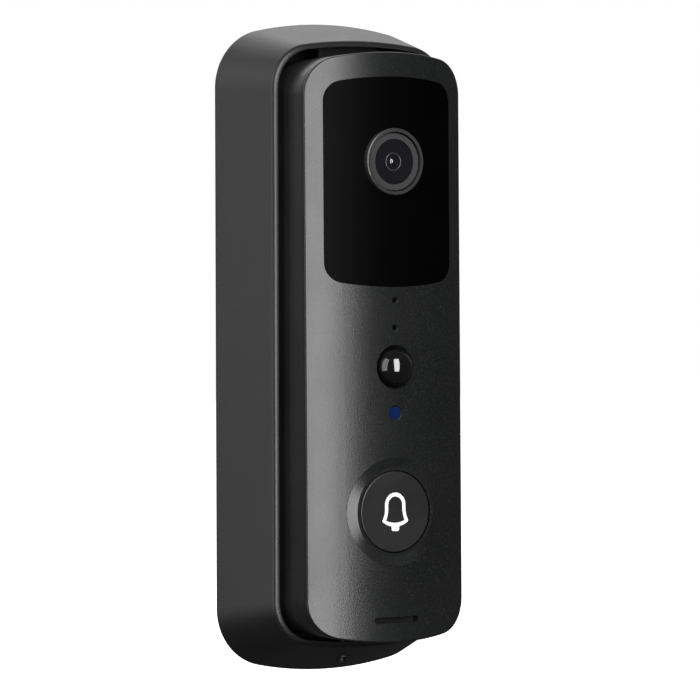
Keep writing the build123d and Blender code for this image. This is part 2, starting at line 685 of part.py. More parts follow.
with BuildPart() as icon_pocket:
    with BuildSketch(Plane.XZ.offset(BUTTON_HEIGHT - ICON_DEEP)):
        with Locations((0, BUTTON_Z)):
            add(bell_shape.sketch)
    extrude(amount=ICON_DEEP + 1)

with BuildPart() as button_cap:
    disc(BUTTON_RADIUS, CAP_FOOT, BUTTON_HEIGHT, z=BUTTON_Z)
    fillet(button_cap.edges().group_by(Axis.Y)[0], 0.35)
    disc(BUTTON_RADIUS + 1.1, CAP_FOOT, CAP_LIP, z=BUTTON_Z)
    disc(CAP_BORE, 0, BUTTON_HEIGHT - CAP_THICK, z=BUTTON_Z, mode=Mode.SUBTRACT)
    # Stem that presses the plunger
    disc(STEM_RADIUS, STEM_TOP, BUTTON_HEIGHT - CAP_THICK + SLACK, z=BUTTON_Z)
    add(icon_pocket.part, mode=Mode.SUBTRACT)
finish(button_cap.part, "button_cap")

with BuildPart() as button_light_guide:
    disc(CAP_BORE - SLACK, GUIDE_BACK, BUTTON_HEIGHT - CAP_THICK - TOUCH, z=BUTTON_Z)
    disc(GUIDE_BORE, 0, BUTTON_HEIGHT, z=BUTTON_Z, mode=Mode.SUBTRACT)
finish(button_light_guide.part, "button_light_guide")

with BuildPart() as switch_plunger:
    disc(STEM_RADIUS, 27.5, STEM_TOP - TOUCH, z=BUTTON_Z)
finish(switch_plunger.part, "switch_plunger")

with BuildPart() as bell_switch:
    block(6.0, 6.0, ON_BOARD, SWITCH_TOP, z=BUTTON_Z, corner=0.4)
    disc(STEM_RADIUS + SLACK, 26.7, SWITCH_TOP + PAST, z=BUTTON_Z, mode=Mode.SUBTRACT)
finish(bell_switch.part, "bell_switch")

with BuildPart() as button_leds:
    for led_angle in (pi / 4, 3 * pi / 4, 5 * pi / 4, 7 * pi / 4):
        led_x = LED_RING * cos(led_angle)
        led_z = BUTTON_Z + LED_RING * sin(led_angle)
        block(1.6, 0.8, ON_BOARD, 26.85, led_x, led_z)
finish(button_leds.part, "button_leds")

# ---------------------------------------------------------------- speaker

SPEAKER_Z = -58.5
SPEAKER = (15.0, 10.6)
SPEAKER_TOP = 28.8
CONE_BACK = 28.2
GASKET_TOP = 29.45

with BuildPart() as speaker:
    block(*SPEAKER, ON_BOARD, SPEAKER_TOP, z=SPEAKER_Z, corner=2.0)
    block(12.6, 8.2, CONE_BACK, SPEAKER_TOP + PAST, z=SPEAKER_Z, corner=1.5, mode=Mode.SUBTRACT)
finish(speaker.part, "speaker")

with BuildPart() as speaker_cone:
    block(12.4, 8.0, CONE_BACK + TOUCH, 28.5, z=SPEAKER_Z, corner=1.4)
    block(8.0, 4.6, 28.5, SPEAKER_TOP - 0.05, z=SPEAKER_Z, corner=1.2)
finish(speaker_cone.part, "speaker_cone")

with BuildPart() as speaker_gasket:
    block(*SPEAKER, SPEAKER_TOP + TOUCH, GASKET_TOP, z=SPEAKER_Z, corner=2.0)
    block(13.6, 9.2, SPEAKER_TOP, GASKET_TOP + PAST, z=SPEAKER_Z, corner=1.5, mode=Mode.SUBTRACT)
finish(speaker_gasket.part, "speaker_gasket")

with BuildPart() as speaker_mesh:
    block(15.0, 4.0, GASKET_TOP + TOUCH, GASKET_TOP + 0.12, z=SLOT_Z + 0.1, corner=0.6)
finish(speaker_mesh.part, "speaker_mesh")

# ---------------------------------------------------------------- power

CELL_TOP = CELL_Z + CELL_LENGTH / 2
CELL_FOOT = CELL_Z - CELL_LENGTH / 2
CELL_CAP = (2.8, 0.9)
CONTACT = (9.0, 0.5)
CONTACT_BACK, CONTACT_FRONT = 9.0, 20.0
SEAL = (36.5, 69.3)
SEAL_WIDE = 0.8
SEAL_BACK = UNIT_BACK + DOOR_THICK + 0.05

with BuildPart() as battery_cells:
    for cell_x in (-CELL_X, CELL_X):
        with BuildSketch(Plane.XY.offset(CELL_FOOT)):
            with Locations((cell_x, -CELL_HEIGHT)):
                Circle(CELL_RADIUS - SLACK / 2)
        extrude(amount=CELL_LENGTH)
        with BuildSketch(Plane.XY.offset(CELL_TOP)):
            with Locations((cell_x, -CELL_HEIGHT)):
                Circle(CELL_CAP[0])
        extrude(amount=CELL_CAP[1])
    fillet(battery_cells.edges().filter_by(GeomType.CIRCLE).sort_by(SortBy.LENGTH)[-4:], 0.5)
finish(battery_cells.part, "battery_cells")

with BuildPart() as battery_contacts:
    for contact_x in (-CELL_X, CELL_X):
        block(*CONTACT, CONTACT_BACK, CONTACT_FRONT, x=contact_x, z=CELL_TOP + 1.2)
        block(*CONTACT, CONTACT_BACK, CONTACT_FRONT, x=contact_x, z=CELL_FOOT - 0.3)
finish(battery_contacts.part, "battery_contacts")

with BuildPart() as battery_seal:
    block(*SEAL, SEAL_BACK, SEAL_BACK + 0.25, z=DOOR_Z, corner=2.6)
    block(
        SEAL[0] - 2 * SEAL_WIDE,
        SEAL[1] - 2 * SEAL_WIDE,
        0,
        SEAL_BACK + PAST,
        z=DOOR_Z,
        corner=2.0,
        mode=Mode.SUBTRACT,
    )
finish(battery_seal.part, "battery_seal")

TRAY = (35.4, 127.0)
TRAY_BACK = 24.1
TRAY_FRONT = 24.9
REST_RADIUS = 1.6

with BuildPart() as inner_tray:
    block(*TRAY, TRAY_BACK, TRAY_FRONT, corner=6.0)
    disc(BARREL_RADIUS + 0.4, 0, TRAY_FRONT + PAST, z=CAMERA_Z, mode=Mode.SUBTRACT)
    for post_x, post_z in SCREW_POSTS:
        disc(POST_RADIUS + 0.2, 0, TRAY_FRONT + PAST, post_x, post_z, mode=Mode.SUBTRACT)
    # Rests for the main board
    for rest_x, rest_z in BOARD_REST:
        disc(REST_RADIUS, TRAY_FRONT, BOARD_BACK - TOUCH, rest_x, rest_z)
        disc(0.75, 0, BOARD_FRONT, rest_x, rest_z, mode=Mode.SUBTRACT)
finish(inner_tray.part, "inner_tray")

# ---------------------------------------------------------------- electronics

BOARD_SCREW_RADIUS = 0.7

with BuildPart() as main_board:
    block(32.0, 84.0, BOARD_BACK, BOARD_FRONT, z=-21.5, corner=2.0)
    for rest_x, rest_z in BOARD_REST:
        disc(BOARD_SCREW_RADIUS + 0.2, 0, BOARD_FRONT + PAST, rest_x, rest_z, mode=Mode.SUBTRACT)
    for post_x, post_z in SCREW_POSTS:
        disc(POST_RADIUS + 0.2, 0, BOARD_FRONT + PAST, post_x, post_z, mode=Mode.SUBTRACT)
finish(main_board.part, "main_board")

with BuildPart() as board_screws:
    for rest_x, rest_z in BOARD_REST:
        disc(BOARD_SCREW_RADIUS, TRAY_BACK + SLACK, ON_BOARD, rest_x, rest_z)
        disc(2 * BOARD_SCREW_RADIUS, ON_BOARD, 27.1, rest_x, rest_z)
finish(board_screws.part, "board_screws")

with BuildPart() as processor_can:
    block(10.4, 11.0, ON_BOARD, 27.6, -8.2, 9.5, 0.8)
finish(processor_can.part, "processor_can")

with BuildPart() as radio_module:
    block(10.0, 11.0, ON_BOARD, 27.5, 8.4, 7.5, 0.5)
finish(radio_module.part, "radio_module")

with BuildPart() as aerial:
    block(20.0, 5.0, 25.6, 25.8, z=61.5, corner=0.5)
finish(aerial.part, "aerial")

# ---------------------------------------------------------------- service side

SERVICE_FACE = SERVICE_BOARD - TOUCH
SOCKET_BACK = 5.6
PLUG_BACK = UNIT_BACK + 0.05
RESET_FOOT = UNIT_BACK + 0.3
POWER_TRAVEL = 2.5
CARD_TOP = 11.8
TERMINAL_BACK = 4.6
TERMINAL_WELL = 6.0

with BuildPart() as service_board:
    block(27.0, 36.0, SERVICE_BOARD, SERVICE_BOARD + BOARD_THICK, z=31.0, corner=1.5)
finish(service_board.part, "service_board")

with BuildPart() as charging_socket:
    block(9.2, 3.4, SOCKET_BACK, SERVICE_FACE, USB_X, SERVICE_Z, 1.3)
    block(8.6, 2.8, 0, SERVICE_FACE - 0.6, USB_X, SERVICE_Z, 1.2, mode=Mode.SUBTRACT)
    block(6.6, 0.8, SOCKET_BACK + 0.4, SERVICE_FACE - 0.4, USB_X, SERVICE_Z)
finish(charging_socket.part, "charging_socket")

with BuildPart() as socket_plug:
    block(14.0, 8.0, PLUG_BACK, PLUG_BACK + 1.0, USB_X, SERVICE_Z, 1.8)
    block(8.2, 2.4, PLUG_BACK + 0.95, 5.9, USB_X, SERVICE_Z, 1.0)
    block(3.0, 0.8, UNIT_BACK - 0.4, PLUG_BACK + 0.05, USB_X, SERVICE_Z - 2.6, 0.35)
finish(socket_plug.part, "socket_plug")

with BuildPart() as reset_button:
    disc(1.35, RESET_FOOT, 7.6, RESET_X, SERVICE_Z)
    disc(2.1, 6.0, 6.6, RESET_X, SERVICE_Z)
finish(reset_button.part, "reset_button")

with BuildPart() as reset_switch:
    block(5.2, 5.2, 7.2, SERVICE_FACE, RESET_X, SERVICE_Z, 0.4)
    disc(1.6, 7.0, 8.4, RESET_X, SERVICE_Z, mode=Mode.SUBTRACT)
finish(reset_switch.part, "reset_switch")

with BuildPart() as power_slider:
    block(2.6, 1.9, RESET_FOOT, 6.6, POWER_X - POWER_TRAVEL / 2, SERVICE_Z, 0.3)
finish(power_slider.part, "power_slider")

with BuildPart() as power_switch:
    block(8.6, 3.8, 5.7, SERVICE_FACE, POWER_X, SERVICE_Z, 0.3)
    block(6.0, 2.3, 0, 7.2, POWER_X, SERVICE_Z, mode=Mode.SUBTRACT)
finish(power_switch.part, "power_switch")

with BuildPart() as card_socket:
    block(14.0, 15.0, SERVICE_BOARD + BOARD_THICK + TOUCH, CARD_TOP, z=21.0, corner=0.5)
    block(11.4, 13.0, CARD_TOP - 1.3, CARD_TOP - 0.5, z=19.0, mode=Mode.SUBTRACT)
finish(card_socket.part, "card_socket")

with BuildPart() as terminal_block:
    block(17.6, 8.6, TERMINAL_BACK, SERVICE_FACE, 0, TERMINAL_Z, 0.5)
    for terminal_x in (-TERMINAL_X, TERMINAL_X):
        disc(3.1, 0, TERMINAL_WELL, terminal_x, TERMINAL_Z, mode=Mode.SUBTRACT)
        disc(1.5, 0, SERVICE_FACE - 0.4, terminal_x, TERMINAL_Z, mode=Mode.SUBTRACT)
finish(terminal_block.part, "terminal_block")

with BuildPart() as terminal_screws:
    for terminal_x in (-TERMINAL_X, TERMINAL_X):
        disc(2.8, TERMINAL_BACK - 0.4, TERMINAL_WELL - 0.05, terminal_x, TERMINAL_Z)
        disc(1.4, TERMINAL_WELL - 0.05, SERVICE_FACE - 0.5, terminal_x, TERMINAL_Z)
        block(3.6, 0.7, 0, 4.9, terminal_x, TERMINAL_Z, mode=Mode.SUBTRACT)
        block(0.7, 3.6, 0, 4.9, terminal_x, TERMINAL_Z, mode=Mode.SUBTRACT)
finish(terminal_screws.part, "terminal_screws")

HEAD_BACK = UNIT_BACK + 0.3
HEAD_FRONT = UNIT_BACK + 1.48
with BuildPart() as case_screws:
    for post_x, post_z in SCREW_POSTS:
        disc(CASE_SCREW_RADIUS - TOUCH, HEAD_FRONT - SLACK, 26.4, post_x, post_z)
        disc(SCREW_HEAD_RADIUS, HEAD_BACK, HEAD_FRONT, post_x, post_z)
        block(1.6, 0.45, 0, UNIT_BACK + 0.8, post_x, post_z, mode=Mode.SUBTRACT)
        block(0.45, 1.6, 0, UNIT_BACK + 0.8, post_x, post_z, mode=Mode.SUBTRACT)
finish(case_screws.part, "case_screws")
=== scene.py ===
# %% [markdown]
# # A video doorbell in its wall housing
#
# The doorbell hangs on a wall: a deep, tapered housing is screwed to the wall, and a slim
# unit with a curved face stands in it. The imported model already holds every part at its
# real size and place. This lesson loads it, lights it like a product table, and gives
# each part the finish of the real plastic, glass or metal.
#
# Lengths are in metres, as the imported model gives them. The wall is the plane y = 0, and
# the doorbell looks along -Y.

import json
from math import cos, degrees, pi, radians, sin

import bmesh
import bpy
from mathutils import Matrix, Vector


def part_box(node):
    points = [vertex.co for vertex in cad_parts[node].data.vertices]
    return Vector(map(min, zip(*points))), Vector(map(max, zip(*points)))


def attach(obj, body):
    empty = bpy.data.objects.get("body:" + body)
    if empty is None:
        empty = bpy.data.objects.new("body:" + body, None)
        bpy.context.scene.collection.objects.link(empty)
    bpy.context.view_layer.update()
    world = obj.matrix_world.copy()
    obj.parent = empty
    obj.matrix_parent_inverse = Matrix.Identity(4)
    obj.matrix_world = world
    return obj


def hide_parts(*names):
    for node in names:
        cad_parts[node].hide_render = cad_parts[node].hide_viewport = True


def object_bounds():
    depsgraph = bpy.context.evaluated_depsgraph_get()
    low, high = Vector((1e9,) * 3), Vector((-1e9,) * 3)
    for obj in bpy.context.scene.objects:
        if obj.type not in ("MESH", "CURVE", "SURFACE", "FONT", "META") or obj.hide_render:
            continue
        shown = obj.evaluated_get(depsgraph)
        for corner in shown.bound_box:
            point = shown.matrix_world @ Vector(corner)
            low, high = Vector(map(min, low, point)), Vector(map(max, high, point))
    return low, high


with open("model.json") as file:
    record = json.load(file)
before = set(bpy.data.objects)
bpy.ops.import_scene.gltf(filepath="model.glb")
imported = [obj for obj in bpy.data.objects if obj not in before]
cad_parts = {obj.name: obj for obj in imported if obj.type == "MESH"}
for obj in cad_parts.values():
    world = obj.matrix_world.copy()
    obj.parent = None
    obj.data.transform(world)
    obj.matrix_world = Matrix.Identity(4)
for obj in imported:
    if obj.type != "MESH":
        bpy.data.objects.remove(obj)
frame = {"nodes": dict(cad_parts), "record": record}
nodes = frame["nodes"]
cad_box = [list(corner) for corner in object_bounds()]
print("CAD box", cad_box)

MM = 0.001
FACE_REACH = 32.0 * MM  # how far the middle of the face stands from the wall
face_front = Vector((0.0, -FACE_REACH, 0.0))
print("front of the face", face_front)

# %% [markdown]
# ## Camera
#
# The view is from the visitor's left, almost level, and from about a metre away, as
# with a short telephoto lens. The camera looks along one line and stands a little to the
# side of the object, so the object sits right of the middle without any lens shift.

# %% Camera
VIEW_AZIMUTH = radians(32.5)
VIEW_ELEVATION = radians(1.2)
VIEW_ROLL = radians(-0.15)
VIEW_DISTANCE = 1.0
FRAME_WIDTH = 160.6 * MM  # what the picture shows across, at the face
ASIDE = Vector((-10.1 * MM, -0.8 * MM))  # how far the camera stands aside
SENSOR_WIDTH = 36.0  # millimetres, as Blender counts it
FARTHEST_SEEN = 20.0

looking = Vector((
    sin(VIEW_AZIMUTH) * cos(VIEW_ELEVATION),
    cos(VIEW_AZIMUTH) * cos(VIEW_ELEVATION),
    -sin(VIEW_ELEVATION),
))
level_right = Vector((cos(VIEW_AZIMUTH), -sin(VIEW_AZIMUTH), 0.0))
level_up = level_right.cross(looking)
right = level_right * cos(VIEW_ROLL) + level_up * sin(VIEW_ROLL)
up = level_up * cos(VIEW_ROLL) - level_right * sin(VIEW_ROLL)

camera_data = bpy.data.cameras.new("product_camera")
camera = bpy.data.objects.new("product_camera", camera_data)
bpy.context.scene.collection.objects.link(camera)
camera_data.sensor_width = SENSOR_WIDTH
camera_data.lens = SENSOR_WIDTH * VIEW_DISTANCE / FRAME_WIDTH
place = face_front - looking * VIEW_DISTANCE + right * ASIDE.x + up * ASIDE.y
turn = Matrix((right, up, -looking)).transposed().to_4x4()
camera.matrix_world = Matrix.Translation(place) @ turn
camera_data.clip_end = FARTHEST_SEEN
bpy.context.scene.camera = camera
print("camera at", tuple(round(v, 3) for v in place), "lens", round(camera_data.lens, 1))

# %% [markdown]
# ## Soft panels
#
# The product stands in a bright, plain studio: one large soft panel almost in front, a
# second at its left, and a weak one high behind for the top edge. Area lights are used,
# because their shape shows in the gloss as a real softbox does, with soft ends.

# %% Soft panels
PANEL_DISTANCE = 1.5
object_middle = sum((Vector(corner) for corner in cad_box), Vector()) / 2


def softbox(name, azimuth, elevation, width, height, power):
    """A soft panel that faces the object. Azimuth 0 is straight in front, negative is left."""
    data = bpy.data.lights.new(name, "AREA")
    data.shape = "RECTANGLE"
    data.size, data.size_y = width, height
    data.energy = power
    panel = bpy.data.objects.new(name, data)
    bpy.context.scene.collection.objects.link(panel)
    a, e = radians(azimuth), radians(elevation)
    towards = Vector((sin(a) * cos(e), -cos(a) * cos(e), sin(e)))
    turn = towards.to_track_quat("Z", "Y").to_matrix().to_4x4()
    place = object_middle + towards * PANEL_DISTANCE
    panel.matrix_world = Matrix.Translation(place) @ turn
    print(name, "at azimuth", azimuth, "power", power)


softbox("front_panel", azimuth=-14, elevation=13, width=0.84, height=2.3, power=54)
softbox("top_panel", azimuth=165, elevation=46, width=1.6, height=0.8, power=4.5)
softbox("left_panel", azimuth=-92, elevation=14, width=1.1, height=1.9, power=12.5)

# %% [markdown]
# ## Paper sky
#
# White paper hangs behind the product. The sky's shader gives the paper: white behind and
# above, dim in front and below, so that dark plastic keeps its shape. A mix by Light Path
# shows the camera plain white everywhere, and gives only the other rays the dim part.

# %% Paper sky
PAPER_DIM, PAPER_BRIGHT = 0.05, 0.9
WHITE = (1, 1, 1, 1)
world = bpy.data.worlds.new("paper_sky")
bpy.context.scene.world = world
world.use_nodes = True
sky = world.node_tree
sky.nodes.clear()
direction = sky.nodes.new("ShaderNodeTexCoord")
split = sky.nodes.new("ShaderNodeSeparateXYZ")
sky.links.new(direction.outputs["Generated"], split.inputs[0])


def sky_ramp(value, low, high):
    """Smooth 0 to 1 step of one direction component."""
    step = sky.nodes.new("ShaderNodeMapRange")
    step.interpolation_type = "SMOOTHSTEP"
    step.inputs["From Min"].default_value = low
    step.inputs["From Max"].default_value = high
    sky.links.new(value, step.inputs["Value"])
    return step.outputs["Result"]


behind = sky_ramp(split.outputs["Y"], 0.0, 0.7)
above = sky_ramp(split.outputs["Z"], -0.15, 0.45)
paper = sky.nodes.new("ShaderNodeMath")
paper.operation = "MULTIPLY"
sky.links.new(behind, paper.inputs[0])
sky.links.new(above, paper.inputs[1])
paper_light = sky.nodes.new("ShaderNodeMapRange")
paper_light.inputs["To Min"].default_value = PAPER_DIM
paper_light.inputs["To Max"].default_value = PAPER_BRIGHT
sky.links.new(paper.outputs[0], paper_light.inputs["Value"])
dim_sky = sky.nodes.new("ShaderNodeBackground")
dim_sky.inputs["Color"].default_value = WHITE
sky.links.new(paper_light.outputs["Result"], dim_sky.inputs["Strength"])
white_sky = sky.nodes.new("ShaderNodeBackground")
white_sky.inputs["Color"].default_value = WHITE
white_sky.inputs["Strength"].default_value = 1.0
seen = sky.nodes.new("ShaderNodeLightPath")
choose = sky.nodes.new("ShaderNodeMixShader")
sky.links.new(seen.outputs["Is Camera Ray"], choose.inputs["Fac"])
sky.links.new(dim_sky.outputs[0], choose.inputs[1])
sky.links.new(white_sky.outputs[0], choose.inputs[2])
sky_output = sky.nodes.new("ShaderNodeOutputWorld")
sky.links.new(choose.outputs[0], sky_output.inputs[0])
bpy.context.scene.view_settings.view_transform = "Standard"
print("paper sky from", PAPER_DIM, "to", PAPER_BRIGHT)

# %% [markdown]
# ## Floor
#
# The floor is a plain pale sheet a little below the object, bright enough by itself to meet
# the paper behind without a line. It is left out of reflections and of bounced light,
# because so much white from below would turn the satin face grey.

# %% Floor
FLOOR_DROP = 0.05
FLOOR_HALF = 3.0
PAPER_GREY = (0.9, 0.9, 0.9, 1)
floor_mesh = bpy.data.meshes.new("floor")
bm = bmesh.new()
bmesh.ops.create_grid(bm, x_segments=1, y_segments=1, size=FLOOR_HALF)
bmesh.ops.translate(bm, vec=(0, 0, cad_box[0][2] - FLOOR_DROP), verts=bm.verts)
bm.to_mesh(floor_mesh)
bm.free()
floor = bpy.data.objects.new("floor", floor_mesh)
bpy.context.scene.collection.objects.link(floor)
floor.visible_glossy = False
floor.visible_diffuse = False
floor_paint = bpy.data.materials.new("floor_paper")
floor_paint.use_nodes = True
floor_shader = floor_paint.node_tree.nodes["Principled BSDF"]
floor_shader.inputs["Base Color"].default_value = PAPER_GREY
floor_shader.inputs["Roughness"].default_value = 0.9
floor_shader.inputs["Emission Color"].default_value = WHITE
floor_shader.inputs["Emission Strength"].default_value = 1.0
floor_mesh.materials.append(floor_paint)
print("floor at", round(cad_box[0][2] - FLOOR_DROP, 4))

# %% [markdown]
# ## Finishes
#
# Most parts of a doorbell are moulded plastic, so the main finish is one Principled shader
# with three layers of noise in object space: a slow drift of the colour, a drift of the
# roughness, and a fine grain as bump. Real moulded plastic shows all three when light
# grazes it. The grain can also lighten its own peaks, as flecks in a paint do. Noise is
# used and not an image, so the grain never repeats or blurs.

# %% Helpers for finishes
GRAIN_DETAIL = 3.0
FLECK_RANGE = (0.56, 0.72)  # the part of the grain's noise that turns into flecks
ROUGH_BLOBS = 0.6  # size of the roughness blobs beside the colour blobs


def pattern(tree, size, detail=2.0, stretch=None):
    """Noise in object space whose blobs are about `size` metres across."""
    where = tree.nodes.new("ShaderNodeTexCoord").outputs["Object"]
    noise = tree.nodes.new("ShaderNodeTexNoise")
    noise.inputs["Scale"].default_value = 1.0 / size
    noise.inputs["Detail"].default_value = detail
    if stretch:
        mapping = tree.nodes.new("ShaderNodeMapping")
        mapping.inputs["Scale"].default_value = stretch
        tree.links.new(where, mapping.inputs["Vector"])
        where = mapping.outputs[0]
    tree.links.new(where, noise.inputs["Vector"])
    return noise.outputs["Fac"]


def spread(tree, value, low, high, start=0.3, end=0.7):
    """Maps a range of a pattern to a range of values."""
    step = tree.nodes.new("ShaderNodeMapRange")
    step.inputs["From Min"].default_value = start
    step.inputs["From Max"].default_value = end
    step.inputs["To Min"].default_value = low
    step.inputs["To Max"].default_value = high
    tree.links.new(value, step.inputs["Value"])
    return step.outputs["Result"]


def mixed(tree, value, first, second):
    """Colour that goes from the first to the second with a value."""
    mix = tree.nodes.new("ShaderNodeMix")
    mix.data_type = "RGBA"
    mix.inputs["A"].default_value = (*first, 1)
    mix.inputs["B"].default_value = (*second, 1)
    tree.links.new(value, mix.inputs["Factor"])
    return mix


def finish(
    name, colour, roughness, drift=0.12, drift_size=0.012, rough_drift=0.04, grain=0.0003,
    depth=0.00001, strength=0.5, metallic=0.0, coat=0.0, stretch=None, specular=0.5, fleck=0.0,
):
    """One procedural finish: colour drift, roughness drift, fine bump grain and flecks."""
    material = bpy.data.materials.new(name)
    material.use_nodes = True
    tree = material.node_tree
    shader = tree.nodes["Principled BSDF"]
    shader.inputs["Metallic"].default_value = metallic
    shader.inputs["Coat Weight"].default_value = coat
    shader.inputs["Specular IOR Level"].default_value = specular
    darker = [c * (1 - drift) for c in colour]
    lighter = [min(c * (1 + drift), 1) for c in colour]
    tint = mixed(tree, spread(tree, pattern(tree, drift_size), 0, 1), darker, lighter)
    if fleck:
        spots = spread(tree, pattern(tree, grain, GRAIN_DETAIL, stretch), 0, 1, *FLECK_RANGE)
        flecked = mixed(tree, spots, darker, [min(c * (1 + fleck), 1) for c in colour])
        tree.links.new(tint.outputs["Result"], flecked.inputs["A"])
        tint = flecked
    tree.links.new(tint.outputs["Result"], shader.inputs["Base Color"])
    low, high = max(roughness - rough_drift, 0.0), min(roughness + rough_drift, 1.0)
    rough_noise = pattern(tree, drift_size * ROUGH_BLOBS, stretch=stretch)
    tree.links.new(spread(tree, rough_noise, low, high), shader.inputs["Roughness"])
    bump = tree.nodes.new("ShaderNodeBump")
    bump.inputs["Strength"].default_value = strength
    bump.inputs["Distance"].default_value = depth
    tree.links.new(pattern(tree, grain, GRAIN_DETAIL, stretch), bump.inputs["Height"])
    tree.links.new(bump.outputs[0], shader.inputs["Normal"])
    return material


# %% [markdown]
# ## Plastics, rubber and paint
#
# The housing is moulded with a spark-eroded texture, which looks like fine leather. The
# face is sprayed with a satin paint that has a finer grain and tiny sparkling flecks. The
# body shell between them is smoother, so it mirrors the panels along its shoulder. Each
# finish differs from the next only in a few numbers, so one helper makes them all.

# %% Plastics
finishes = {
    "housing_plastic": finish(
        "housing_plastic", (0.0095, 0.0096, 0.0098), 0.40, rough_drift=0.015, grain=0.0004,
        depth=0.00003, fleck=0.5,
    ),
    "cover_paint": finish(
        "cover_paint", (0.0085, 0.0088, 0.0092), 0.31, rough_drift=0.02, drift_size=0.02,
        grain=0.00028, depth=0.00004, strength=0.85, fleck=2.4,
    ),
    "shell_plastic": finish(
        "shell_plastic", (0.017, 0.017, 0.018), 0.22, rough_drift=0.015, grain=0.0006,
        depth=0.000004,
    ),
    "pad_foam": finish(
        "pad_foam", (0.020, 0.020, 0.021), 0.88, drift=0.3, grain=0.0006, depth=0.00008, fleck=1.5
    ),
    "window_gloss": finish(
        "window_gloss", (0.0006, 0.0006, 0.0007), 0.45, rough_drift=0.02, grain=0.004,
        depth=0.000001, specular=0.03,
    ),
    "tape": finish("tape", (0.02, 0.02, 0.02), 0.7, grain=0.0008, depth=0.00002),
    "bezel_black": finish("bezel_black", (0.030, 0.030, 0.031), 0.30, grain=0.0002, specular=0.8),
    "ring_grey": finish("ring_grey", (0.030, 0.030, 0.031), 0.5, grain=0.00025, fleck=0.5),
    "optic_black": finish("optic_black", (0.008, 0.008, 0.008), 0.6, grain=0.0005, depth=0.00002),
    "button_black": finish("button_black", (0.0115, 0.0115, 0.0122), 0.42, grain=0.0003, fleck=0.6),
    "icon_white": finish("icon_white", (0.95, 0.95, 0.95), 0.5, drift=0.02, grain=0.0002),
    "diffuser": finish("diffuser", (0.8, 0.82, 0.85), 0.5, drift=0.05, grain=0.0002),
    "chip_black": finish("chip_black", (0.02, 0.02, 0.02), 0.6, grain=0.0002, fleck=0.8),
    "silicone": finish("silicone", (0.03, 0.03, 0.03), 0.7, grain=0.0005, fleck=0.4),
    "grey_plastic": finish("grey_plastic", (0.06, 0.06, 0.063), 0.5, grain=0.0005, fleck=0.3),
    "cone_film": finish("cone_film", (0.05, 0.05, 0.055), 0.3, grain=0.0004, depth=0.00003),
    "led_white": finish("led_white", (0.85, 0.83, 0.6), 0.5, drift=0.05, grain=0.0002),
}
print("plastics:", ", ".join(finishes))

# %% [markdown]
# ## Glass, lens and dome
#
# The lens, the motion dome and the status light are dark, polished and smooth, so nearly
# all that shows on them is the room. They get hardly any grain and a strong reflection.

# %% Polished parts
finishes.update({
    "lens_glass": finish(
        "lens_glass", (0.0075, 0.0075, 0.0098), 0.08, rough_drift=0.02, depth=0.0, specular=0.35
    ),
    "clear_lens": finish("clear_lens", (0.1, 0.1, 0.12), 0.05, depth=0.0, coat=0.5),
    "dome_black": finish(
        "dome_black", (0.004, 0.004, 0.0045), 0.07, rough_drift=0.02, depth=0.0, specular=1.0
    ),
    "status_blue": finish("status_blue", (0.003, 0.012, 0.065), 0.2, grain=0.0005),
})
print(len(finishes), "finishes with the polished parts")

# %% [markdown]
# ## Metals
#
# Small pressed and turned parts are never evenly bright. A noise that is stretched along
# one axis leaves the fine drawing lines of sheet metal in the roughness and the bump.

# %% Metals
DRAWN = (1.0, 1.0, 0.08)  # noise stretched along the height, as drawing lines are
finishes.update({
    "can_steel": finish(
        "can_steel", (0.42, 0.42, 0.42), 0.4, metallic=1.0, grain=0.0003, stretch=DRAWN
    ),
    "steel": finish("steel", (0.30, 0.30, 0.31), 0.42, metallic=1.0, grain=0.0003, stretch=DRAWN),
    "brass": finish(
        "brass", (0.60, 0.44, 0.18), 0.34, metallic=1.0, grain=0.0003, stretch=DRAWN
    ),
    "foil": finish("foil", (0.55, 0.38, 0.2), 0.4, metallic=0.6, grain=0.0006, depth=0.00002),
    "dark_steel": finish("dark_steel", (0.035, 0.035, 0.037), 0.5, metallic=1.0, grain=0.0002),
})
print(len(finishes), "finishes with the metals")

# %% [markdown]
# ## Circuit boards and battery sleeves
#
# A circuit board is fibreglass under a green or black mask, and copper tracks show as
# slightly lighter lines below it. The joints of a brick pattern give straight tracks with
# square corners. A battery sleeve is a shrunk film with printed rings, and a wave texture
# along the cell repeats them.

# %% Circuit boards and sleeves
BRICK_SCALE = 260.0
TRACK_WIDTH = 0.035  # of the brick pattern, in its own units
RINGS_SCALE = 4.8
RING_RANGE = (0.93, 0.96)  # only the crests of the wave are printed


def board_finish(name, mask, track):
    """Solder mask with copper tracks beneath it."""
    material = finish(name, mask, 0.38, grain=0.0004)
    tree = material.node_tree
    where = tree.nodes.new("ShaderNodeTexCoord")
    flat = tree.nodes.new("ShaderNodeMapping")
    flat.inputs["Rotation"].default_value = (pi / 2, 0, 0)
    tree.links.new(where.outputs["Object"], flat.inputs["Vector"])
    tracks = tree.nodes.new("ShaderNodeTexBrick")
    tracks.inputs["Scale"].default_value = BRICK_SCALE
    tracks.inputs["Mortar Size"].default_value = TRACK_WIDTH
    tracks.inputs["Color1"].default_value = (*mask, 1)
    tracks.inputs["Color2"].default_value = (*[c * 0.8 for c in mask], 1)
    tracks.inputs["Mortar"].default_value = (*track, 1)
    tree.links.new(flat.outputs[0], tracks.inputs["Vector"])
    shader = tree.nodes["Principled BSDF"]
    tree.links.new(tracks.outputs["Color"], shader.inputs["Base Color"])
    return material


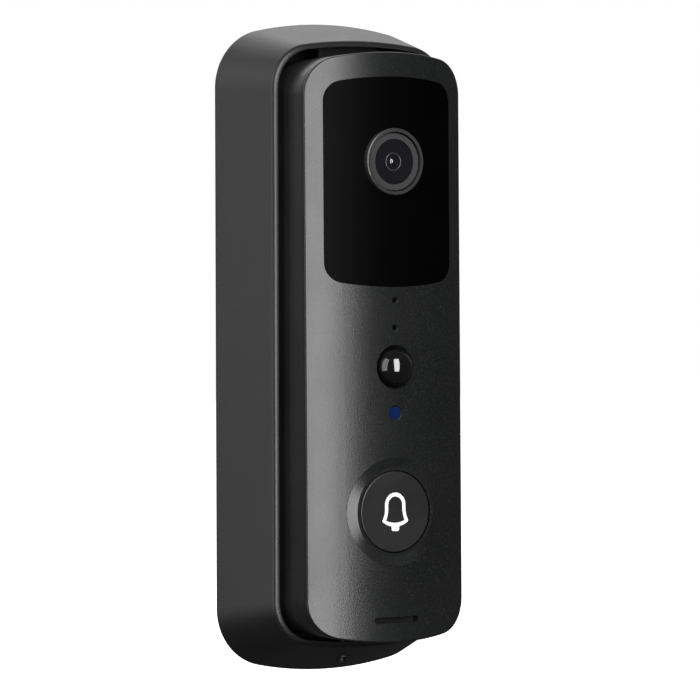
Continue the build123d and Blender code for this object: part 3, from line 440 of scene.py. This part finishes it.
def sleeve_finish(name, film, band):
    """Shrunk film with printed rings that repeat along the cell."""
    material = finish(name, film, 0.3, coat=0.4, grain=0.001, depth=0.00002)
    tree = material.node_tree
    where = tree.nodes.new("ShaderNodeTexCoord")
    rings = tree.nodes.new("ShaderNodeTexWave")
    rings.bands_direction = "Z"
    rings.inputs["Scale"].default_value = RINGS_SCALE
    tree.links.new(where.outputs["Object"], rings.inputs["Vector"])
    crests = spread(tree, rings.outputs["Fac"], 0, 1, *RING_RANGE)
    printed = mixed(tree, crests, film, band)
    shader = tree.nodes["Principled BSDF"]
    tree.links.new(printed.outputs["Result"], shader.inputs["Base Color"])
    return material


finishes.update({
    "circuit_board": board_finish("circuit_board", (0.012, 0.075, 0.035), (0.06, 0.20, 0.08)),
    "board_black": board_finish("board_black", (0.010, 0.010, 0.012), (0.06, 0.05, 0.03)),
    "cell_wrap": sleeve_finish("cell_wrap", (0.04, 0.17, 0.33), (0.7, 0.72, 0.75)),
})
print(len(finishes), "finishes")

# %% [markdown]
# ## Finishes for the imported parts
#
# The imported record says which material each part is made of, and the finishes bear the
# same names, so a loop gives every part its own. The little screw and the speaker's mesh
# are blackened steel, though they share their record's material with brighter parts.

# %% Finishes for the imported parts
for entry in frame["record"]["subparts"]:
    part = nodes[entry["node"]]
    part.data.materials.clear()
    part.data.materials.append(finishes[entry["material_slot"]])
for dark_part in ("security_screw", "speaker_mesh"):
    nodes[dark_part].data.materials[0] = finishes["dark_steel"]
print(len(nodes), "packed parts finished")

# %% [markdown]
# ## Turned parts for the camera
#
# Behind the front glass of a camera sit nested rings, and in their middle a small bulging
# lens that catches the lamps. Each is a turned shape: a profile of a few points is spun
# once around the lens axis, and the spin operator merges the seam by itself. The unit
# leans a little as it hangs, so each spun shape leans with it, about the middle of its own
# front. The lean is read from the direction of the bell button's travel in the record.

# %% Turned parts
SPIN_STEPS = 96
MERGE_DISTANCE = 0.01 * MM
STRAIGHT_BACK = Vector((0, 1, 0))
joints = {joint["name"]: joint for joint in frame["record"]["behaviour"]["joints"]}
travel = Vector(joints["bell_button_press"]["axis"])
lean = travel.rotation_difference(STRAIGHT_BACK).inverted().to_matrix().to_4x4()
print("the unit leans", round(degrees(travel.angle(STRAIGHT_BACK)), 2), "degrees")


def turned(name, profile, node, material, body):
    """A closed turned piece. The profile's points are (radius, reach) in millimetres, with
    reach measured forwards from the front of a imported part, along that part's own axis."""
    bm = bmesh.new()
    points = [bm.verts.new((radius * MM, -reach * MM, 0)) for radius, reach in profile]
    edges = [bm.edges.new(pair) for pair in zip(points, points[1:])]
    bmesh.ops.spin(
        bm, geom=points + edges, cent=(0, 0, 0), axis=(0, 1, 0), angle=2 * pi,
        steps=SPIN_STEPS, use_merge=True,
    )
    bmesh.ops.remove_doubles(bm, verts=bm.verts, dist=MERGE_DISTANCE)
    bmesh.ops.recalc_face_normals(bm, faces=bm.faces)
    low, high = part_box(node)
    middle = (low + high) / 2
    place = Matrix.Translation((middle.x, low.y, middle.z)) @ lean
    bmesh.ops.transform(bm, matrix=place, verts=bm.verts)
    for face in bm.faces:
        face.smooth = True
    mesh = bpy.data.meshes.new(name)
    bm.to_mesh(mesh)
    bm.free()
    piece = bpy.data.objects.new(name, mesh)
    bpy.context.scene.collection.objects.link(piece)
    mesh.materials.append(material)
    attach(piece, body)
    print(name, len(mesh.polygons), "faces")
    return piece


# %% [markdown]
# The front glass is a very shallow dish, so that it stays dark from the side, and it
# replaces the plain packed disc. In its middle a low collar holds a tiny bulging lens,
# the only spot that catches the panels.

# %% Front glass, lens collar and middle lens
front_glass = turned(
    "front_glass",
    [
        (0.0, -1.2), (5.15, -1.2), (5.2, -0.1), (5.1, -0.03), (4.6, -0.06), (3.6, -0.1),
        (1.8, -0.17), (0.0, -0.22),
    ],
    "front_lens", finishes["lens_glass"], "doorbell",
)
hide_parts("front_lens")
turned(
    "lens_collar",
    [(1.85, -0.24), (2.12, -0.24), (2.12, -0.15), (1.98, -0.135), (1.85, -0.15), (1.85, -0.24)],
    "front_lens", finishes["bezel_black"], "doorbell",
)
turned(
    "middle_lens",
    [
        (0.0, -0.26), (1.1, -0.26), (1.1, -0.2), (0.72, -0.18), (0.64, -0.1), (0.5, 0.01),
        (0.28, 0.08), (0.0, 0.1),
    ],
    "front_lens", finishes["dome_black"], "doorbell",
)
